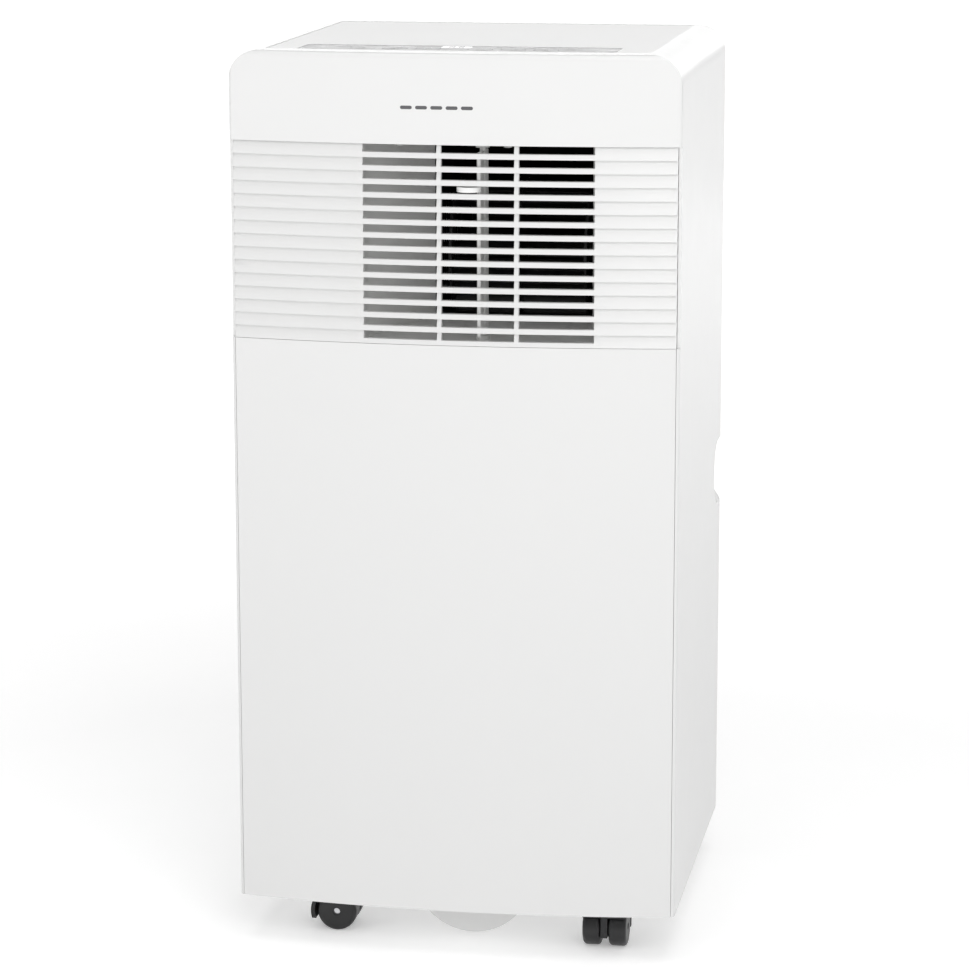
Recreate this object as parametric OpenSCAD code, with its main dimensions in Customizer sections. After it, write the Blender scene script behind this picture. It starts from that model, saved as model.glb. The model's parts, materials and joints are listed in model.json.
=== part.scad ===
// Portable air conditioner on casters: cabinet, upper room-air circuit, lower condenser circuit.
// X to the right seen from the front, Y to the rear, Z up, origin on the floor under the centre.

/* [Cabinet] */
// Width of the cabinet
body_w = 328; // [320:1:400]
// Depth of the cabinet, front bow included
body_d = 305; // [300:1:370]
// Height of the cabinet from its bottom edge to its top
body_h = 633; // [620:1:780]
// Gap between the floor and the bottom edge of the cabinet
floor_gap = 35; // [34:0.5:40]
// How far the middle of the front stands ahead of its corners
front_bow = 13.4; // [8:0.2:18]
// Wall thickness of the shells
wall = 2.5; // [2:0.1:3]
// Radius of the upright front corners
front_corner_r = 3.5; // [3.5:0.5:6]
// Radius of the upright rear corners
rear_corner_r = 8; // [6:0.5:14]
// Radius of the two long top edges
top_edge_r = 22; // [16:1:28]
// Radius of the front and rear top edges
top_lip_r = 4; // [3.5:0.5:8]
// Distance from the front corners back to the seam between front and rear shell
seam_back = 79; // [60:1:100]
// Gap along the seams between neighbouring shells and panels
seam_gap = 0.3; // [0.3:0.05:0.8]

/* [Air outlet] */
// Height of the plain band above the grille
band_h = 64.5; // [55:0.5:80]
// Height from one grille board to the next
board_pitch = 9.6; // [8:0.1:11]
// Number of grille boards
board_count = 15; // [12:1:15]
// How far each board leans out from top to lower lip
board_lean = 3.2; // [2:0.1:3.6]
// Height of an open slot under each lip
slot_h = 6; // [4.4:0.1:6.2]
// Width of the open part of the grille
outlet_w = 167; // [150:1:180]
// How far the open part sits right of the middle
outlet_x = 19.5; // [0:0.5:22]
// Width of a grille rib
rib_w = 3.2; // [2:0.1:5]
// Distance between the two grille ribs
rib_spacing = 55.8; // [50:0.2:60]
// Thickness of the grille plate
grille_t = 3; // [2.6:0.1:3.2]
// Length of the outlet duct behind the grille
duct_len = 97; // [95:1:104]
// Width of the fan mouth at the rear of the duct
mouth_w = 118; // [110:1:124]
// Height of the fan mouth at the rear of the duct
mouth_h = 130; // [124:1:132]
// Chord of the swing vane
vane_chord = 34; // [28:1:36]
// Thickness of the swing vane
vane_t = 3; // [2:0.1:4]

/* [Controls] */
// Length of the control strip along the top
strip_l = 232; // [190:1:240]
// Depth of the control strip
strip_d = 42; // [38:1:44]
// Distance from the front to the control strip
strip_back = 31; // [28:1:36]
// Length of a key
key_l = 18; // [12:1:19]
// Depth of a key
key_d = 10; // [8:1:12]
// Distance between neighbouring keys of a group
key_pitch = 24; // [22:1:26]

/* [Fans] */
// Radius of the upper fan wheel
up_wheel_r = 54; // [48:1:56]
// Radius of the lower fan wheel
low_wheel_r = 58; // [50:1:60]
// Width of the lower fan wheel
low_wheel_w = 46; // [38:1:48]
// Blades on a fan wheel
blade_count = 30; // [16:2:36]
// Bore radius of the exhaust collar
exhaust_r = 60; // [50:1:62]
// Radius of a motor can
motor_r = 35; // [30:1:38]
// Radius of a motor shaft
shaft_r = 4; // [3:0.5:5]
// Radial clearance of a shaft or pin in its hole
fit_gap = 0.05; // [0.02:0.01:0.1]

/* [Refrigerant circuit] */
// Radius of the compressor can
comp_r = 52.5; // [45:0.5:55]
// Height of the compressor can
comp_h = 190; // [170:1:195]
// Thickness of the evaporator and of the condenser
coil_t = 40; // [34:1:42]
// Outer radius of the condensate trough
trough_r = 45; // [40:1:46]

/* [Casters] */
// Radius of a caster wheel
wheel_r = 15; // [12.5:0.5:15.5]
// Width across a twin wheel
wheel_w = 33; // [28:1:36]
// Distance from the swivel axis to the axle
trail = 12; // [8:1:14]
// Distance from the sides to the swivel axes
caster_side = 55; // [52:1:60]
// Distance from the front corners and from the rear to the swivel axes
caster_end = 46; // [44:1:60]
// Radius of a caster stem
stem_r = 4; // [3:0.5:5]

/* [Hidden] */
$fn = 64;
eps = 0.01;

// cabinet planes
half_w = body_w / 2;
front_y = -body_d / 2;
rear_y = body_d / 2;
corner_y = front_y + front_bow;
base_z = floor_gap;
top_z = floor_gap + body_h;
bow_r = (half_w * half_w + front_bow * front_bow) / (2 * front_bow);
bow_cy = front_y + bow_r;
bow_fn = 720;
bow_sector = 60;
in_rear = rear_y - wall;
seam_y = corner_y + seam_back;

// grille and outlet
grille_top = top_z - band_h;
grille_bottom = grille_top - board_count * board_pitch;
outlet_l = outlet_x - outlet_w / 2;
outlet_r = outlet_x + outlet_w / 2;
outlet_bottom = grille_bottom + board_pitch - slot_h;
insert_hw = half_w - 2.5;

// duct and upper fan: the mouth of the scroll meets the rear of the duct
duct_t = 2;
duct_front_y = corner_y - 7;
mouth_y = front_y + duct_len + 7;
mouth_r = outlet_r - 15;
mouth_l = mouth_r - mouth_w;
mouth_top = grille_top - 9;
mouth_bottom = mouth_top - mouth_h;
duct_top = grille_top + 2;
duct_bottom = outlet_bottom - 2.5;
scroll_t = 2;
up_cut_r = up_wheel_r + 5;
up_end_r = up_wheel_r + 34;
up_y = mouth_y + 69;
up_z = mouth_top - up_end_r;
up_cut_a = asin((up_z - mouth_bottom) / up_cut_r);
wheel_gap = 7;
hub_r = 9;
shaft_in = 15;
inlet_r = 44;
motor_h = 44;
motor_off = 14;

// vane
vane_y = front_y + 24.5;
vane_bottom = duct_bottom + 1.2;
vane_top = duct_top - 8.2;
pin_r = 2;
tab_slot = 3;
tab_z = grille_top - tab_slot * board_pitch - slot_h / 2;
tab_t = 3.6;

// control strip: overlay in a pocket of the top cover, keys and board below
strip_y = front_y + strip_back + strip_d / 2;
strip_x = -2;
cover_hw = half_w - top_edge_r - 2;
cover_front = 19.5;
cover_rear = 12;
cover_t = 2.5;
pocket_z = top_z - 4;
key_t = 2.2;
key_gap = 0.35;
key_y = strip_y - 7;
key_x = [-72, -72 + key_pitch, -72 + 2 * key_pitch, 14, 14 + key_pitch, 14 + 2 * key_pitch];
key_stem_r = 2;
board_z = top_z - 14;
board_t = 1.6;
switch_h = 4;
window_l = 22;
window_d = 11;

// coils and rear intake
intake_t = 3;
filter_t = 4;
coil_y1 = rear_y - intake_t - filter_t - 4.5;
coil_y0 = coil_y1 - coil_t;
deck_z = base_z + 265;
deck_t = 3;
deck_rim = 12;
evap_x0 = -half_w + 22;
evap_x1 = half_w - 40;
evap_z0 = deck_z + deck_t + 3;
evap_z1 = top_z - 38;
up_in_x0 = evap_x0 + 12;
up_in_x1 = evap_x1 - 4;
up_in_z0 = evap_z0 + 22;
up_in_z1 = evap_z1 - 3;
end_plate_t = 1.5;
tube_r = 4;
tube_in = 10;
bend_l = 8;
evap_rows = 12;
cond_rows = 9;

// exhaust
exhaust_x = half_w - 72;
exhaust_z = base_z + 180;
collar_r = exhaust_r + 3;
elbow_t = 2;
elbow_hw = exhaust_r + 2;
elbow_back = in_rear - 17;

// condenser and lower fan
cond_x0 = -half_w + 6;
cond_x1 = exhaust_x - elbow_hw - 22;
cond_z0 = base_z + 20;
cond_z1 = deck_z - 12;
low_in_x0 = cond_x0 + 20;
low_in_x1 = cond_x1 - 6;
low_in_z0 = base_z + 39;
low_in_z1 = cond_z1 - 6;
low_cut_r = low_wheel_r + 5;
low_end_r = low_wheel_r + 38;
low_x = cond_x1 - 74;
low_z = base_z + 133;
low_y1 = coil_y0 - 4;
low_y0 = low_y1 - low_wheel_w - 10;
low_cut_a = 30;

// base pan
pan_z = base_z + 6;
pan_t = 3;
pan_floor = pan_z + pan_t;
pan_h = 30;
trough_x = cond_x1 + 0.5;
trough_z = base_z + 16.4;
trough_t = 3;
trough_y0 = corner_y + 26;
trough_y1 = coil_y0 - 2;
boss_r = 9;
boss_top = pan_floor + 9;

// compressor
comp_x = half_w - 61;
comp_y = corner_y + 67;
grommet_h = 12;
comp_z = pan_floor + grommet_h + 2;
accu_r = 22;
accu_x = comp_x - comp_r - accu_r - 6;
foot_r = 46;
foot_t = 2;
stud_r = 3;

// pipes: each route turns in square corners with ball joints
pipe_r = 4;
suction_r = 5;
capillary_r = 1.5;
pipe_top = comp_z + comp_h;
riser_x = half_w - 26;
riser_y = coil_y0 + tube_in;
liquid_x = evap_x1 + 8;
liquid_y = coil_y1 - tube_in;
gap_x = cond_x1 + 14;
suction_z = deck_z - 9;
liquid_z = suction_z - 8;
discharge_z = low_z + low_end_r + scroll_t + 7;
hot_z = row_z(cond_z0, cond_z1, cond_rows, cond_rows - 2);
cool_z = row_z(cond_z0, cond_z1, cond_rows, 0);
cold_z = row_z(evap_z0, evap_z1, evap_rows, 2);
vapour_z = row_z(evap_z0, evap_z1, evap_rows, 1);
accu_top = 165;
discharge_route = [[comp_x, comp_y, pipe_top], [comp_x, comp_y, discharge_z],
  [comp_x, comp_y + comp_r + 10, discharge_z], [gap_x, comp_y + comp_r + 10, discharge_z],
  [gap_x, riser_y, discharge_z], [gap_x, riser_y, hot_z], [cond_x1, riser_y, hot_z]];
suction_route = [[evap_x1, riser_y, vapour_z], [riser_x, riser_y, vapour_z],
  [riser_x, riser_y, suction_z], [riser_x, comp_y + comp_r + 34, suction_z],
  [accu_x, comp_y + comp_r + 34, suction_z], [accu_x, comp_y, suction_z],
  [accu_x, comp_y, comp_z + accu_top]];
capillary_route = [[cond_x1, liquid_y, cool_z], [cond_x1 + 5, liquid_y, cool_z],
  [cond_x1 + 5, liquid_y, liquid_z], [liquid_x, liquid_y, liquid_z],
  [liquid_x, liquid_y, cold_z], [evap_x1, liquid_y, cold_z]];

// slinger and float
slinger_r = trough_r - trough_t - 4;
slinger_w = 8;
slinger_y = coil_y0 - 16;
float_x = trough_x + trough_r + 30;
float_y = 30;
float_z = pan_floor + 18;
float_range_gap = 3;

// electrics
box_x0 = -half_w + 10;
box_w = 66;
box_d = 74;
box_h = 120;
box_y0 = corner_y + 16;
cap_r = 18;
gland_x = exhaust_x - 20;
gland_z = base_z + 70;
gland_r = 8;
cord_r = 3.6;

// drains
drain_x = exhaust_x + 26;
low_drain_z = pan_floor + 9;
up_drain_x = exhaust_x - 10;
up_drain_z = deck_z + deck_t + 5;
drain_r = 6;
drain_recess_r = 13;
drain_recess = 5;
plug_in = 4;

// handle scoops at the rear corners
scoop_r = 25.5;
scoop_y = rear_y - 27;
scoop_z = base_z + 282;
scoop_depth = 14;
scoop_ramp = 18;

// casters
stem_top = boss_top - 1;
fork_top = base_z;
fork_plate = 3;
fender_r = wheel_r + 5;
fender_t = 3;
axle_r = 2.5;
web_t = 5;
caster_x = half_w - caster_side;
caster_fy = corner_y + caster_end;
caster_ry = rear_y - caster_end - 6.5;

// screws
screw_r = 1.8;
screw_head_r = 3.6;
screw_head_t = 2;
screw_l = 9;
screw_x = half_w - 16;
screw_at = [[-screw_x, base_z + 46], [-screw_x, base_z + 235], [-screw_x, top_z - 60],
  [screw_x, base_z + 46], [screw_x, base_z + 235], [screw_x, top_z - 60],
  [cond_x1 + 10, base_z + 252], [0, top_z - 20]];

white = [0.95, 0.95, 0.94];
off_white = [0.9, 0.9, 0.89];
light_grey = [0.78, 0.78, 0.77];
dark_grey = [0.24, 0.24, 0.25];
black = [0.06, 0.06, 0.06];
aluminium = [0.75, 0.76, 0.78];
copper = [0.72, 0.45, 0.3];
steel = [0.6, 0.61, 0.63];

// ---- cabinet form -------------------------------------------------------------------------

// Upright plan outline, bowed at the front, all faces moved in by inset
module plan_outline(inset) {
  fr = front_corner_r - inset;
  fx = half_w - front_corner_r;
  fy = bow_cy - sqrt(pow(bow_r - front_corner_r, 2) - pow(fx, 2));
  intersection() {
    translate([0, bow_cy]) circle(r = bow_r - inset, $fn = bow_fn);
    translate([-fx, front_y - 1]) square([2 * fx, body_d / 2]);
  }
  translate([-half_w + inset, fy]) square([body_w - 2 * inset, rear_y - rear_corner_r - fy]);
  translate([-half_w + rear_corner_r, -1])
    square([body_w - 2 * rear_corner_r, rear_y - inset + 1]);
  for (s = [-1, 1]) {
    translate([s * fx, fy]) circle(r = fr);
    translate([s * (half_w - rear_corner_r), rear_y - rear_corner_r])
      circle(r = rear_corner_r - inset);
  }
}

// Front elevation with the two long top edges rounded
module arch_outline(inset) {
  r = top_edge_r - inset;
  translate([-half_w + inset, 0]) square([body_w - 2 * inset, top_z - top_edge_r]);
  translate([-half_w + top_edge_r, 0]) square([body_w - 2 * top_edge_r, top_z - inset]);
  for (s = [-1, 1])
    translate([s * (half_w - top_edge_r), top_z - top_edge_r]) circle(r = r);
}

// Side elevation with the rear top edge rounded: first axis to the rear, second up
module side_outline(inset) {
  translate([front_y - 1, 0]) square([body_d + 1 - inset, top_z - top_lip_r]);
  translate([front_y - 1, 0]) square([body_d + 1 - top_lip_r, top_z - inset]);
  translate([rear_y - top_lip_r, top_z - top_lip_r]) circle(r = top_lip_r - inset);
}

// Solid of revolution about the bow's axis, its top edge rounded
module bow_drum(inset, z0) {
  r = bow_r - inset;
  translate([0, bow_cy, 0]) rotate([0, 0, -90 - bow_sector / 2])
    rotate_extrude(angle = bow_sector, $fn = bow_fn) {
      translate([0, z0]) square([r, top_z - top_lip_r - z0]);
      translate([0, z0]) square([bow_r - top_lip_r, top_z - inset - z0]);
      translate([bow_r - top_lip_r, top_z - top_lip_r]) circle(r = top_lip_r - inset);
    }
}

// The whole cabinet as one solid, all faces moved in by inset
module cabinet_form(inset) {
  z0 = base_z - (inset > 0 ? 1 : 0);
  intersection() {
    translate([0, 0, z0]) linear_extrude(height = body_h + 2) plan_outline(inset);
    translate([0, rear_y + 1, 0]) rotate([90, 0, 0])
      linear_extrude(height = body_d + 2) arch_outline(inset);
    translate([-half_w - 1, 0, 0]) rotate([90, 0, 90])
      linear_extrude(height = body_w + 2) side_outline(inset);
    bow_drum(inset, z0 - 1);
  }
}

// The hollow skin of the cabinet, open at the bottom
module cabinet_skin(t = wall) {
  difference() {
    cabinet_form(0);
    cabinet_form(t);
  }
}

// Everything in front of the bow moved in by inset
module ahead_of_bow(inset, z0, z1) {
  difference() {
    translate([-half_w - 5, front_y - 5, z0]) cube([body_w + 10, body_d / 2, z1 - z0]);
    translate([0, bow_cy, z0 - 1]) cylinder(r = bow_r - inset, h = z1 - z0 + 2, $fn = bow_fn);
  }
}

// Opening of the top cover, narrowed by gap on all sides
module cover_space(gap, z0, z1) {
  intersection() {
    translate([-cover_hw + gap, front_y, z0])
      cube([2 * (cover_hw - gap), rear_y - cover_rear - gap - front_y, z1 - z0]);
    translate([0, bow_cy, z0 - 1])
      cylinder(r = bow_r - cover_front - gap, h = z1 - z0 + 2, $fn = bow_fn);
  }
}

module front_shell() {
  flange_y = corner_y + 6.4;
  color(white) for (s = [-1, 1])
    translate([s * (half_w - wall / 2 - 3.5) - 4, flange_y, deck_z + 20])
      cube([8, 2, grille_top - deck_z - 20]);
  color(white) difference() {
    cabinet_skin();
    translate([-half_w - 1, seam_y, 0]) cube([body_w + 2, body_d, top_z + 1]);
    translate([-insert_hw, front_y - 1, base_z - 1])
      cube([2 * insert_hw, front_bow + 6, grille_top - base_z + 1]);
    ahead_of_bow(board_lean, grille_bottom, grille_top);
    cover_space(0, top_z - 8, top_z + 1);
  }
}

// Boards lean out towards their lower lips; the slots under the lips are open in the outlet
module louver_grille() {
  r0 = bow_r - board_lean;
  r_in = r0 - grille_t;
  seg = [outlet_l, outlet_x - rib_spacing / 2, outlet_x + rib_spacing / 2, outlet_r];
  color(white) difference() {
    intersection() {
      translate([0, bow_cy, 0]) rotate([0, 0, -90 - bow_sector / 2])
        rotate_extrude(angle = bow_sector, $fn = bow_fn)
          polygon(concat([[r_in, grille_bottom + seam_gap], [r_in, grille_top - seam_gap]],
            [for (k = [0:board_count - 1]) for (end = [0, 1])
              [end == 0 ? r0 : bow_r,
                grille_top - (k + end) * board_pitch
                  - (k + end == 0 ? seam_gap : 0) + (k + end == board_count ? seam_gap : 0)]],
            [[r0, grille_bottom + seam_gap]]));
      translate([-insert_hw + seam_gap, front_y - 1, grille_bottom])
        cube([2 * (insert_hw - seam_gap), body_d, board_count * board_pitch]);
    }
    for (k = [0:board_count - 1])
      for (i = [0:2])
        translate([seg[i] + (i == 0 ? 0 : rib_w / 2), front_y - 1,
            grille_top - k * board_pitch - slot_h])
          cube([seg[i + 1] - seg[i] - (i == 1 ? rib_w : rib_w / 2), front_bow + 10,
            k == 0 ? slot_h + 1 : slot_h]);
  }
}

module lower_front_panel() {
  color(off_white) intersection() {
    cabinet_skin();
    translate([-insert_hw + seam_gap, front_y - 1, base_z])
      cube([2 * (insert_hw - seam_gap), front_bow + 5, grille_bottom - base_z]);
  }
}

// Scoop at a rear corner: a half-round recess with a ramp for a floor
module scoop(side, grow) {
  r = scoop_r + grow;
  deep = scoop_depth + grow + 5;
  translate([side * (half_w - scoop_depth - grow), scoop_y, scoop_z]) rotate([0, 90 * side, 0])
    cylinder(r = r, h = deep);
  translate([side > 0 ? half_w + 5 - deep : -half_w - 5, scoop_y, scoop_z - r])
    cube([deep, rear_y - scoop_y + 5, 2 * r]);
}

module scoop_ramp_block(side) {
  z0 = scoop_z - scoop_r;
  intersection() {
    scoop(side, 0);
    translate([0, rear_y + 1, 0]) rotate([90, 0, 0])
      linear_extrude(height = rear_y - scoop_y + scoop_r + 4)
      polygon([[side * (half_w - scoop_depth - 1), z0 - 3], [side * half_w, z0 - 3],
        [side * (half_w - 1.2), z0 + 1], [side * (half_w - scoop_depth - 1), z0 + scoop_ramp]]);
    cabinet_form(0);
  }
}

// Recess behind a drain plug with its spout, seen from the rear
module drain_cut(x, z) {
  translate([x, rear_y - drain_recess, z]) rotate([-90, 0, 0])
    cylinder(r = drain_recess_r, h = drain_recess + 1);
  translate([x, rear_y - drain_recess - 30, z]) rotate([-90, 0, 0]) cylinder(r = drain_r, h = 40);
}

module drain_cup(x, z) {
  translate([x, rear_y - drain_recess - wall, z]) rotate([-90, 0, 0])
    cylinder(r = drain_recess_r + wall, h = drain_recess + wall - 0.5);
}

// Room for a drain cup in what stands behind the rear shell
module cup_space(x, z) {
  translate([x, rear_y - drain_recess - wall - seam_gap, z]) rotate([-90, 0, 0])
    cylinder(r = drain_recess_r + wall + seam_gap, h = 20);
  translate([x, rear_y - drain_recess - wall - 5, z]) rotate([-90, 0, 0])
    cylinder(r = drain_r + 1, h = 20);
}

module screw_hole(p) {
  translate([p[0], rear_y - screw_l - 1, p[1]]) rotate([-90, 0, 0])
    cylinder(r = screw_r, h = screw_l + 2);
  translate([p[0], rear_y - screw_head_t, p[1]]) rotate([-90, 0, 0])
    cylinder(r = screw_head_r, h = screw_head_t + 1);
}

module rear_shell() {
  color(white) difference() {
    union() {
      difference() {
        cabinet_skin();
        translate([-half_w - 1, front_y - 1, 0])
          cube([body_w + 2, seam_y + seam_gap - front_y + 1, top_z + 1]);
      }
      for (side = [-1, 1])
        intersection() {
          scoop(side, wall);
          cabinet_form(0);
        }
      drain_cup(drain_x, low_drain_z);
      drain_cup(up_drain_x, up_drain_z);
      for (p = screw_at)
        translate([p[0], rear_y - screw_l, p[1]]) rotate([-90, 0, 0])
          cylinder(r = screw_head_r + 1.2, h = screw_l - 1);
    }
    for (side = [-1, 1])
      difference() {
        scoop(side, 0);
        scoop_ramp_block(side);
      }
    cover_space(0, top_z - 8, top_z + 1);
    translate([up_in_x0, rear_y - 15, up_in_z0])
      cube([up_in_x1 - up_in_x0, 20, up_in_z1 - up_in_z0]);
    translate([low_in_x0, rear_y - 15, low_in_z0])
      cube([low_in_x1 - low_in_x0, 20, low_in_z1 - low_in_z0]);
    translate([exhaust_x, rear_y - 15, exhaust_z]) rotate([-90, 0, 0])
      cylinder(r = collar_r + seam_gap, h = 20);
    translate([gland_x, rear_y - 15, gland_z]) rotate([-90, 0, 0])
      cylinder(r = gland_r + fit_gap, h = 20);
    drain_cut(drain_x, low_drain_z);
    drain_cut(up_drain_x, up_drain_z);
    for (p = screw_at)
      screw_hole(p);
  }
}

// ---- top and controls ---------------------------------------------------------------------

module rounded_plate(l, d, h, r) {
  translate([-l / 2 + r, -d / 2, 0]) cube([l - 2 * r, d, h]);
  translate([-l / 2, -d / 2 + r, 0]) cube([l, d - 2 * r, h]);
  for (sx = [-1, 1])
    for (sy = [-1, 1])
      translate([sx * (l / 2 - r), sy * (d / 2 - r), 0]) cylinder(r = r, h = h);
}

module top_cover() {
  color(off_white) difference() {
    union() {
      cover_space(seam_gap, top_z - cover_t - 0.3, top_z - 0.3);
      translate([strip_x, strip_y, pocket_z - cover_t])
        rounded_plate(strip_l + 2 * wall, strip_d + 2 * wall, 4, 5);
      for (sx = [-1, 1])
        translate([strip_x + sx * (strip_l / 2 - 12), strip_y, board_z + board_t])
          cylinder(r = 3, h = pocket_z - cover_t - board_z - board_t + 1);
    }
    translate([strip_x, strip_y, pocket_z]) rounded_plate(strip_l, strip_d, 6, 4);
    for (x = key_x)
      translate([x, key_y, pocket_z - 5]) cylinder(r = key_stem_r + 0.6, h = 10);
  }
}

module control_overlay() {
  color(dark_grey) difference() {
    translate([strip_x, strip_y, pocket_z])
      rounded_plate(strip_l - 0.4, strip_d - 0.4, top_z - 0.5 - pocket_z, 3.8);
    for (x = key_x)
      translate([x, key_y, pocket_z - 1]) rounded_plate(key_l, key_d, 8, 2);
    translate([strip_x - 4, strip_y + 11, top_z - 1.7]) rounded_plate(window_l, window_d, 4, 1.5);
  }
}

module display_window() {
  color(black) translate([strip_x - 4, strip_y + 11, top_z - 1.7])
    rounded_plate(window_l - 0.2, window_d - 0.2, 1.2, 1.4);
}

// A key cap that sinks into the overlay onto the switch below it
module key(i) {
  color(dark_grey) {
    translate([key_x[i], key_y, top_z - 0.5 - key_t])
      rounded_plate(key_l - 2 * key_gap, key_d - 2 * key_gap, key_t, 1.7);
    translate([key_x[i], key_y, board_z + board_t + switch_h + 0.8])
      cylinder(r = key_stem_r, h = top_z - 0.5 - key_t - board_z - board_t - switch_h - 0.7);
  }
}

module control_board() {
  color("darkgreen") {
    translate([strip_x - strip_l / 2 + 6, strip_y - strip_d / 2 + 3, board_z])
      cube([strip_l - 12, strip_d - 6, board_t]);
    for (x = key_x)
      translate([x, key_y, board_z]) cylinder(r = 3.4, h = board_t + switch_h);
  }
}

// ---- outlet duct, vane and upper fan ------------------------------------------------------

// Upright duct wall along a plan line, inner face from a to b, thickness to the side given
module duct_wall(a, b, side, z0, z1) {
  translate([0, 0, z0]) linear_extrude(height = z1 - z0)
    polygon([a, b, [b[0] + side * duct_t, b[1]], [a[0] + side * duct_t, a[1]]]);
}

// Sloped duct plate between two heights, front and rear
module duct_plate(zf, zr, thick) {
  translate([outlet_l - duct_t, 0, 0]) rotate([90, 0, 90])
    linear_extrude(height = outlet_w + 2 * duct_t)
      polygon([[duct_front_y, zf], [mouth_y, zr], [mouth_y, zr + thick],
        [duct_front_y, zf + thick]]);
}

module air_outlet_duct() {
  turn_y = duct_front_y + 20;
  color(light_grey) difference() {
    union() {
      intersection() {
        union() {
          duct_wall([outlet_l, duct_front_y], [outlet_l, turn_y + 1], -1, 0, top_z);
          duct_wall([outlet_l, turn_y], [mouth_l, mouth_y], -1, 0, top_z);
          duct_wall([outlet_r, duct_front_y], [mouth_r, mouth_y], 1, 0, top_z);
        }
        translate([outlet_l - duct_t, 0, 0]) rotate([90, 0, 90])
          linear_extrude(height = outlet_w + 2 * duct_t)
            polygon([[duct_front_y, duct_bottom - duct_t], [mouth_y, mouth_bottom - duct_t],
              [mouth_y, mouth_top + duct_t], [duct_front_y, duct_top + duct_t]]);
      }
      duct_plate(duct_bottom - duct_t, mouth_bottom - duct_t, duct_t);
      duct_plate(duct_top, mouth_top, duct_t);
      for (z = [duct_bottom - 2.5, duct_top - 5.6])
        translate([outlet_x, vane_y, z]) cylinder(r = 5, h = 6);
      for (x = [mouth_l - 17, outlet_x + 13])
        for (z = [duct_bottom - 3, duct_top - 9])
          translate([x, front_y + 56, z]) cylinder(r = 3, h = 7);
    }
    translate([outlet_x, vane_y, duct_bottom - 10])
      cylinder(r = pin_r + fit_gap, h = duct_top - duct_bottom + 30);
    ahead_of_bow(board_lean + grille_t + seam_gap, base_z, top_z);
  }
}

module swing_vane() {
  color(white) {
    translate([outlet_x - vane_t / 2, vane_y - vane_chord / 2 + vane_t / 2, vane_bottom + 4])
      cube([vane_t, vane_chord - vane_t, vane_top - vane_bottom - 4]);
    for (s = [-1, 1])
      translate([outlet_x, vane_y + s * (vane_chord - vane_t) / 2, vane_bottom + 4])
        cylinder(r = vane_t / 2, h = vane_top - vane_bottom - 4);
    translate([outlet_x, vane_y, vane_bottom + 2.6]) cylinder(r = 3, h = 4);
    translate([outlet_x, vane_y, duct_bottom - 4])
      cylinder(r = pin_r, h = duct_top + 6 - duct_bottom);
    vane_tab();
  }
}

// Leaf-shaped finger tab that reaches out through a slot of the grille
module vane_tab() {
  tip_y = front_y;
  translate([outlet_x, 0, tab_z - tab_t / 2]) intersection() {
    translate([-16, tip_y, 0]) cube([19, vane_y - tip_y, tab_t]);
    union() {
      translate([-7, tip_y + 9, 0]) cylinder(r = 9, h = tab_t);
      translate([-16, tip_y + 9, 0]) cube([15, 12, tab_t]);
      translate([-3, tip_y + 6, 0]) cube([4.4, vane_y - tip_y - 6, tab_t]);
    }
  }
}

// Spiral of a fan housing: radius grows evenly from a0 to a1 degrees
function spiral(r0, r1, a0, a1, grow, steps = 40) = [for (i = [0:steps])
  let (a = a0 + (a1 - a0) * i / steps, r = r0 + (r1 - r0) * i / steps + grow)
  [r * cos(a), r * sin(a)]];

// Upper housing outline in its own plane: first axis to the rear, second up
module up_outline(grow) {
  polygon(concat(spiral(up_cut_r, up_end_r, -180 + up_cut_a, 90, grow),
    [[mouth_y - up_y, up_end_r + grow], [mouth_y - up_y, mouth_bottom - up_z - grow]]));
}

module upper_fan_scroll() {
  leg_w = 14;
  color(black) difference() {
    union() {
      translate([mouth_l - scroll_t, up_y, up_z]) rotate([90, 0, 90])
        linear_extrude(height = mouth_w + 2 * scroll_t) up_outline(scroll_t);
      for (x = [mouth_l + 4, mouth_r - leg_w - 4])
        translate([x, up_y - 20, deck_z + deck_t]) cube([leg_w, 40, up_z - up_end_r + 30 - deck_z]);
    }
    translate([mouth_l, up_y, up_z]) rotate([90, 0, 90])
      linear_extrude(height = mouth_w) up_outline(0);
    translate([mouth_l, mouth_y - 1, mouth_bottom]) cube([mouth_w, 6, mouth_h]);
    translate([mouth_l - 5, up_y, up_z]) rotate([0, 90, 0]) cylinder(r = inlet_r, h = mouth_w + 10);
  }
}

// Fan wheel along +Z: back plate with hub, ring of blades, front rim
module fan_wheel(r, w, plate_at) {
  blade_d = 11;
  blade_t = 1.2;
  translate([0, 0, plate_at]) cylinder(r = r, h = 2);
  cylinder(r = hub_r, h = w);
  for (z = [0, w - 2])
    translate([0, 0, z]) difference() {
      cylinder(r = r, h = 2);
      translate([0, 0, -1]) cylinder(r = r - 12, h = 4);
    }
  for (i = [0:blade_count - 1])
    rotate([0, 0, i * 360 / blade_count]) translate([r - 6.2, 0, w / 2]) rotate([0, 0, 32])
      cube([blade_d, blade_t, w - 1], center = true);
}

module upper_fan_wheel() {
  w = mouth_w - 2 * wheel_gap;
  up_reach = wheel_gap + scroll_t + motor_off + shaft_in;
  color(dark_grey) translate([mouth_l + wheel_gap, up_y, up_z]) rotate([0, 90, 0]) {
    fan_wheel(up_wheel_r, w, w / 2 - 1);
    translate([0, 0, -up_reach]) cylinder(r = shaft_r, h = w + up_reach);
  }
}

// Motor can along +Z with its shaft hole at the near end and feet arms to a plate at z = arm
module fan_motor(arm, arm_r) {
  difference() {
    union() {
      translate([0, 0, -motor_h]) cylinder(r = motor_r, h = motor_h);
      cylinder(r = 14, h = 3);
      for (a = [45:90:315])
        rotate([0, 0, a]) {
          translate([motor_r - 6, -3, -14]) cube([arm_r - motor_r + 10, 6, 4]);
          translate([arm_r, 0, -14]) cylinder(r = 4, h = arm + 14);
        }
    }
    translate([0, 0, -20]) cylinder(r = shaft_r + fit_gap, h = 30);
  }
}

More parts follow.
